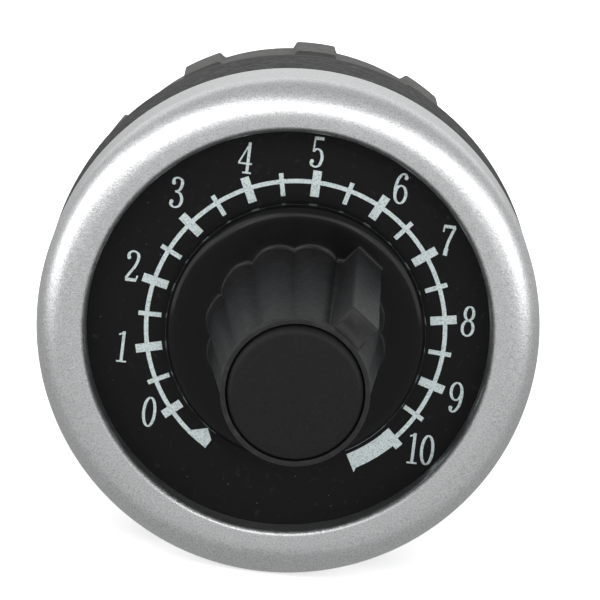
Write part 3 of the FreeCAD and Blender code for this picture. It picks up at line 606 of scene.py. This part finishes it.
def make_print(dial_front):
    """The ink as thin slabs on the dial plate, each laid a hair above the one before."""
    points = []
    faces = []
    back = dial_front + 0.01
    hair = 0.00002
    for index, outline in enumerate(scale_strokes()):
        front = dial_front - INK - hair * index
        first = len(points)
        count = len(outline)
        for y in (front, back):
            for spot in outline:
                points.append(((spot.x + SPINDLE[0]) * MM, y * MM, (spot.y + SPINDLE[1]) * MM))
        faces.append(tuple(range(first, first + count)))
        faces.append(tuple(range(first + 2 * count - 1, first + count - 1, -1)))
        for step in range(count):
            beside = (step + 1) % count
            faces.append((first + beside, first + step,
                          first + count + step, first + count + beside))
    piece = piece_from("printed_scale", points, faces, smooth=False)
    dress(piece, "housing", "dial_black", PRINT_WHITE)


# ---- knob ------------------------------------------------------------------------------------

LOBES = 12
KNOB_COLUMNS = 720
SKIRT_RADIUS = 7.75
SKIRT_TOP = -13.8
GRIP_END = -30.2
# At the skirt and in front: a lobe's own radius, its reach, and the pointer rib's reach.
LOBE_SIZE = (1.75, 1.40)
LOBE_REACH = (5.30, 4.05)
RIB_REACH = (6.3, 5.65)
RIB_HALF_WIDTH = 0.975


def between(ends, share):
    """The value a share of the way from the first end to the second."""
    return ends[0] + (ends[1] - ends[0]) * share


def lobe_reach(angles, share):
    """Radius of the twelve lobes at each angle; share runs from 0 at the skirt to 1 in front."""
    size = between(LOBE_SIZE, share)
    centre = between(LOBE_REACH, share) - size
    pitch = 2 * math.pi / LOBES
    offset = (angles + pitch / 2) % pitch - pitch / 2
    return centre * np.cos(offset) + np.sqrt(size ** 2 - (centre * np.sin(offset)) ** 2)


def rib_reach(angles, share):
    """Radius of the pointer rib's blunt outline at each angle, and nought away from it."""
    flank = RIB_HALF_WIDTH / (np.abs(np.sin(angles)) + 1e-6)
    tip = between(RIB_REACH, share) / np.maximum(np.cos(angles), 1e-6)
    return np.where(np.cos(angles) > 0.3, smooth_min(flank, tip, 0.1), 0.0)


def grip_outline(angles, share):
    """The grip's cross-section: lobes with the rib laid over one of them."""
    return smooth_max(lobe_reach(angles, share), rib_reach(angles, share), 0.12)


def make_knob():
    """Skirt, lobed grip with its pointer rib, collar and the bore behind them."""
    low, high = node_box("knob_body")
    back, front = high.y, low.y
    recess, recess_floor = 6.7, back - 0.9
    apron = 6.9
    fillet, fillet_height = 0.12, 0.2
    grip_start, grip_stop = SKIRT_TOP - fillet_height, GRIP_END + 0.25
    levels = 40
    collar = 4.15
    cap_seat, seat_floor = 3.86, front + 1
    nut_well, nut_floor = 3.15, -27.0
    collet_bore, cone_start = 2.56, -18.2
    cone_mouth, cone_end = 3.36, -16.2
    collet_head = 3.5
    angles = np.linspace(0, 2 * math.pi, KNOB_COLUMNS, endpoint=False)
    flat = np.ones(KNOB_COLUMNS)
    rows = []

    def add(radii, y):
        rows.append(ring_of(radii, y, SPINDLE, REST_TURN))

    rim = [(recess, recess_floor, 0), (recess, back, 0.08), (SKIRT_RADIUS, back, 0.12),
           (SKIRT_RADIUS, SKIRT_TOP, 0.8), (apron, SKIRT_TOP, 0)]
    for radius, y in rounded(rim, 10)[1:]:
        add(flat * radius, y)
    base = grip_outline(angles, 0)
    for share in (0.3, 0.6, 0.85):
        add(apron + (base + fillet - apron) * share, SKIRT_TOP)
    for lift in (0.02, 0.08, fillet_height):
        add(base + fillet * (1 - lift / fillet_height) ** 2, SKIRT_TOP - lift)
    for level in range(1, levels + 1):
        share = level / levels
        add(grip_outline(angles, share), between((grip_start, grip_stop), share))
    end = grip_outline(angles, 1)
    for inset, lift in ((0.02, 0.15), (0.08, 0.06), (0.2, 0.01)):
        add(np.maximum(end - inset, collar - 0.01), GRIP_END + lift)
    add(end + (collar - end) * 0.6, GRIP_END)
    inside = rounded([
        (collar, GRIP_END, 0), (collar, front, 0.06), (cap_seat, front, 0.04),
        (cap_seat, seat_floor, 0), (nut_well, seat_floor, 0), (nut_well, nut_floor, 0),
        (collet_bore, nut_floor, 0), (collet_bore, cone_start, 0), (cone_mouth, cone_end, 0),
        (collet_head, cone_end, 0), (collet_head, recess_floor, 0), (recess, recess_floor, 0)], 4)
    for radius, y in inside:
        add(flat * radius, y)
    piece = mesh_from_rows("knob", rows)
    dress(piece, "knob", "knob_black", LOOKS["knob_black"], SKIRT_BLACK, replaces=["knob_body"])
    # The second material covers everything behind the skirt's top.
    for face in piece.data.polygons:
        if face.center.y > (SKIRT_TOP - 0.02) * MM:
            face.material_index = 1
    even_normals(piece)


def make_cap():
    """The knob's cap with its softly rounded edge."""
    low, high = node_box("knob_cap")
    radius = (high.x - low.x) / 2
    piece = lathe("cap", [
        (0, low.y, 0),
        (radius, low.y, 0.5),
        (radius, high.y, 0.05),
        (0, high.y, 0),
    ], segments=160, centre=SPINDLE, steps=8)
    dress(piece, "knob", "knob_black", CAP_BLACK, replaces=["knob_cap"])


# ---- housing, gasket, washer and ring nut -----------------------------------------------------

def make_housing():
    """Nose, flange and barrel with a real helical thread and a keyway."""
    low, high = node_box("housing")
    flange = high.x
    nose_front, barrel_back = low.y, high.y
    hole, web_front, web_back = 4.05, -8.2, -6.6
    socket, nose = 6.6, 13.35
    groove_inner, groove_outer, groove_floor = 11.4, 12.4, nose_front + 0.8
    flange_front, flange_back = -7.2, -1.5
    gasket_seat = 10.7
    cavity = 9.4
    segments = 240
    angles = np.linspace(0, 2 * math.pi, segments, endpoint=False)
    pitch = 1.5
    crest, root = 11.0, 10.1
    start, end = 3.5, barrel_back - 0.5
    steps = 250
    barrel_start = 0.3
    keyway_half = 1.8
    front_profile = rounded([
        (hole, web_front, 0), (socket, web_front, 0.05), (socket, nose_front, 0.05),
        (groove_inner, nose_front, 0), (groove_inner, groove_floor, 0),
        (groove_outer, groove_floor, 0), (groove_outer, nose_front, 0),
        (nose, nose_front, 0.1), (nose, flange_front, 0), (flange, flange_front, 0.12),
        (flange, flange_back, 0.3), (gasket_seat, flange_back, 0), (gasket_seat, 0, 0),
        (crest, 0, 0.05)], 5)
    back_profile = rounded([
        (10.9, end, 0), (10.6, barrel_back, 0), (cavity, barrel_back, 0.05),
        (cavity, web_back, 0), (hole, web_back, 0)], 3)
    rows = [ring_of(np.full(segments, radius), y) for radius, y in front_profile]
    keyway = (np.abs(np.sin(angles)) * crest < keyway_half) & (np.cos(angles) < 0)
    floor = root / np.maximum(np.abs(np.cos(angles)), 0.5)
    for step in range(steps + 1):
        y = barrel_start + (end - barrel_start) * step / steps
        wave = ((y - start) / pitch - angles / (2 * math.pi)) % 1.0
        depth = np.clip((0.5 - np.abs(wave - 0.5)) * 2.5 - 0.12, 0, 1)
        fade = np.clip((y - start) / 0.8, 0, 1) * np.clip((end - y) / 0.5, 0, 1)
        radii = crest - (crest - root) * depth * fade
        rows.append(ring_of(np.where(keyway, np.minimum(radii, floor), radii), y))
    rows += [ring_of(np.full(segments, radius), y) for radius, y in back_profile]
    piece = mesh_from_rows("housing_shell", rows)
    even_normals(piece)
    dress(piece, "housing", "housing_black", LOOKS["housing_black"], replaces=["housing"])


def make_gasket():
    """Rubber gasket with softened edges."""
    low, high = node_box("panel_gasket")
    bore = 10.85
    piece = lathe("gasket", [
        (bore, low.y, 0.1), (high.x, low.y, 0.25), (high.x, high.y, 0.35), (bore, high.y, 0.1),
    ], steps=6)
    dress(piece, "housing", "black_rubber", LOOKS["black_rubber"], replaces=["panel_gasket"])


def make_nut():
    """Ring nut with twelve lugs and a plain bore."""
    low, high = node_box("ring_nut")
    front, back = low.y, high.y
    middle = (front + back) / 2
    tip = (high.x - low.x) / 2
    root, edge = 13.8, 0.35
    bore, mouth = 11.06, 11.56
    chamfer = 0.5
    lug_start = 0.45
    lug_ramp = ((0.35, 0.47), (0.75, 0.53), (1.0, 0.65))
    segments = 720
    steps = 40
    angles = np.linspace(0, 2 * math.pi, segments, endpoint=False)
    pitch = math.radians(30)
    offset = np.abs((angles + pitch / 2) % pitch - pitch / 2) * root
    lugs = np.clip((1.45 - offset) / 0.3, 0, 1)
    lugs = lugs * lugs * (3 - 2 * lugs)
    rows = []

    def add(radius, y, lug_share):
        rows.append(ring_of(radius + (tip - root) * lugs * lug_share, y))

    for radius, y in rounded([(mouth, front, 0), (root, front, edge), (root, middle, 0)])[:-1]:
        add(radius, y, 0.0)
    add(root, front + lug_start, 0.0)
    for share, lift in lug_ramp:
        add(root, front + lift, share)
    for share, lift in reversed(lug_ramp):
        add(root, back - lift, share)
    add(root, back - lug_start, 0.0)
    for radius, y in rounded([(root, middle, 0), (root, back, edge), (mouth, back, 0)])[1:]:
        add(radius, y, 0.0)
    for step in range(steps + 1):
        y = back - chamfer + (front - back + 2 * chamfer) * step / steps
        rows.append(ring_of(np.full(segments, bore), y))
    piece = mesh_from_rows("nut", rows)
    even_normals(piece)
    dress(piece, "nut", "nut_grey", LOOKS["nut_grey"], replaces=["ring_nut"])


def finish_cad_nodes():
    """Materials for the CAD nodes that stay, each from its slot in the record."""
    slots = {row["node"]: row["material_slot"] for row in frame["record"]["subparts"]}
    for name, piece in frame["nodes"].items():
        piece.data.materials.clear()
        piece.data.materials.append(LOOKS[slots[name]])


# ---- floor, light and camera ------------------------------------------------------------------

def stage_paper(name, color, glow):
    """Matt paper with a glow of its own."""
    look = Look(name, color, 0.9)
    look.shader.inputs["Emission Color"].default_value = (1, 1, 1, 1)
    look.shader.inputs["Emission Strength"].default_value = glow
    look.bump(look.noise(1.5, 4), 0.01)
    return look.material


def make_floor():
    """A pale floor that curves up behind the object; lengths here are in metres."""
    floor_level = cad_low.z
    front_edge, flat_end, wall_top = -1.2, 0.05, 1.2
    depth, width, bend = 0.35, 1.2, 0.15
    profile = [(front_edge, 0.0), (flat_end, 0.0)]
    for step in range(13):
        turn = math.radians(90 * step / 12)
        profile.append((depth + bend * math.sin(turn), bend * (1 - math.cos(turn))))
    profile.append((depth + bend, wall_top))
    points = []
    for along, up in profile:
        points += [(-width, along, floor_level + up), (width, along, floor_level + up)]
    faces = [(2 * i, 2 * i + 1, 2 * i + 3, 2 * i + 2) for i in range(len(profile) - 1)]
    floor = piece_from("floor", points, faces)
    floor.data.materials.append(stage_paper("floor_paper", (0.93, 0.93, 0.93), 0.54))
    floor.visible_glossy = False


BOX_DISTANCE = 0.46
# Name, angle to the right of the dial's axis, angle above it, width and height in metres, and
# how bright its face looks.
SOFT_BOXES = [
    ("front", 0, 26, 0.36, 0.19, 2.0),
    ("front_left", -38, 34, 0.32, 0.26, 2.1),
    ("left", -74, 14, 0.30, 0.34, 1.9),
    ("front_right", 36, 30, 0.30, 0.22, 1.9),
    ("right", 68, 18, 0.28, 0.26, 1.7),
    ("rear", 180, 32, 0.80, 0.34, 0.42),
]


def make_lights():
    """A half ring of soft boxes over the object, one behind it, and a dim room."""
    middle = Vector((0, cad_low.y / 2, 0))
    for name, right, above, width, height, brightness in SOFT_BOXES:
        data = bpy.data.lights.new(name, "AREA")
        data.shape = "RECTANGLE"
        data.size = width
        data.size_y = height
        data.energy = brightness * math.pi * width * height
        light = bpy.data.objects.new(name, data)
        across, up = math.radians(right), math.radians(above)
        toward = Vector((math.sin(across) * math.cos(up), -math.cos(across) * math.cos(up),
                         math.sin(up)))
        light.location = middle + toward * BOX_DISTANCE
        light.rotation_mode = "QUATERNION"
        light.rotation_quaternion = toward.to_track_quat("Z", "Y")
        bpy.context.scene.collection.objects.link(light)
    world = bpy.data.worlds.new("studio")
    world.use_nodes = True
    world.node_tree.nodes["Background"].inputs["Color"].default_value = (1, 1, 1, 1)
    world.node_tree.nodes["Background"].inputs["Strength"].default_value = 0.52
    bpy.context.scene.world = world


def make_painted_shade_card():
    """A dim, faintly glowing card under the object that shows only in its reflections: painted
    shade standing in for the object's shadow on the floor beneath it.
    """
    level = cad_low.z - 0.0002
    half_width, near, far = 0.5, -0.016, 0.6
    points = [(-half_width, near, level), (half_width, near, level),
              (half_width, far, level), (-half_width, far, level)]
    card = piece_from("painted_shade_card", points, [(0, 1, 2, 3)])
    # Dark, faintly glowing paper: a painted shadow that the object's undersides reflect in place
    # of the floor.
    card.data.materials.append(stage_paper("painted_shade_card_paper", (0.01, 0.01, 0.01), 0.36))
    card.visible_camera = False
    card.visible_diffuse = False
    card.visible_shadow = False


def make_camera():
    """A long lens a little above the axis, rolled as the object lies."""
    tilt = math.radians(10.35)
    roll = math.radians(7)
    distance = 0.25
    scale_centre = Vector((0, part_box("dial_plate")[0].y - 0.8 * MM, 0))
    upright = Vector((-math.sin(roll), 0, math.cos(roll)))
    away = Vector((0, -math.cos(tilt), 0)) + upright * math.sin(tilt)
    image_up = upright * math.cos(tilt) + Vector((0, math.sin(tilt), 0))
    image_right = image_up.cross(away)
    aim = scale_centre + image_right * (0.71 * MM) + image_up * (1.80 * MM)
    camera = bpy.data.objects.new("camera", bpy.data.cameras.new("camera"))
    camera.data.sensor_width = 36
    camera.data.lens = 252.75
    camera.data.clip_start = 0.01
    camera.data.clip_end = 10
    camera.location = aim + away * distance
    camera.rotation_mode = "QUATERNION"
    camera.rotation_quaternion = Matrix((image_right, image_up, away)).transposed().to_quaternion()
    bpy.context.scene.collection.objects.link(camera)
    bpy.context.scene.camera = camera


finish_cad_nodes()
make_bezel()
make_print(make_dial_plate())
make_knob()
make_cap()
make_housing()
make_gasket()
make_nut()
make_floor()
make_painted_shade_card()
make_lights()
make_camera()
bpy.context.scene.view_settings.view_transform = "Standard"
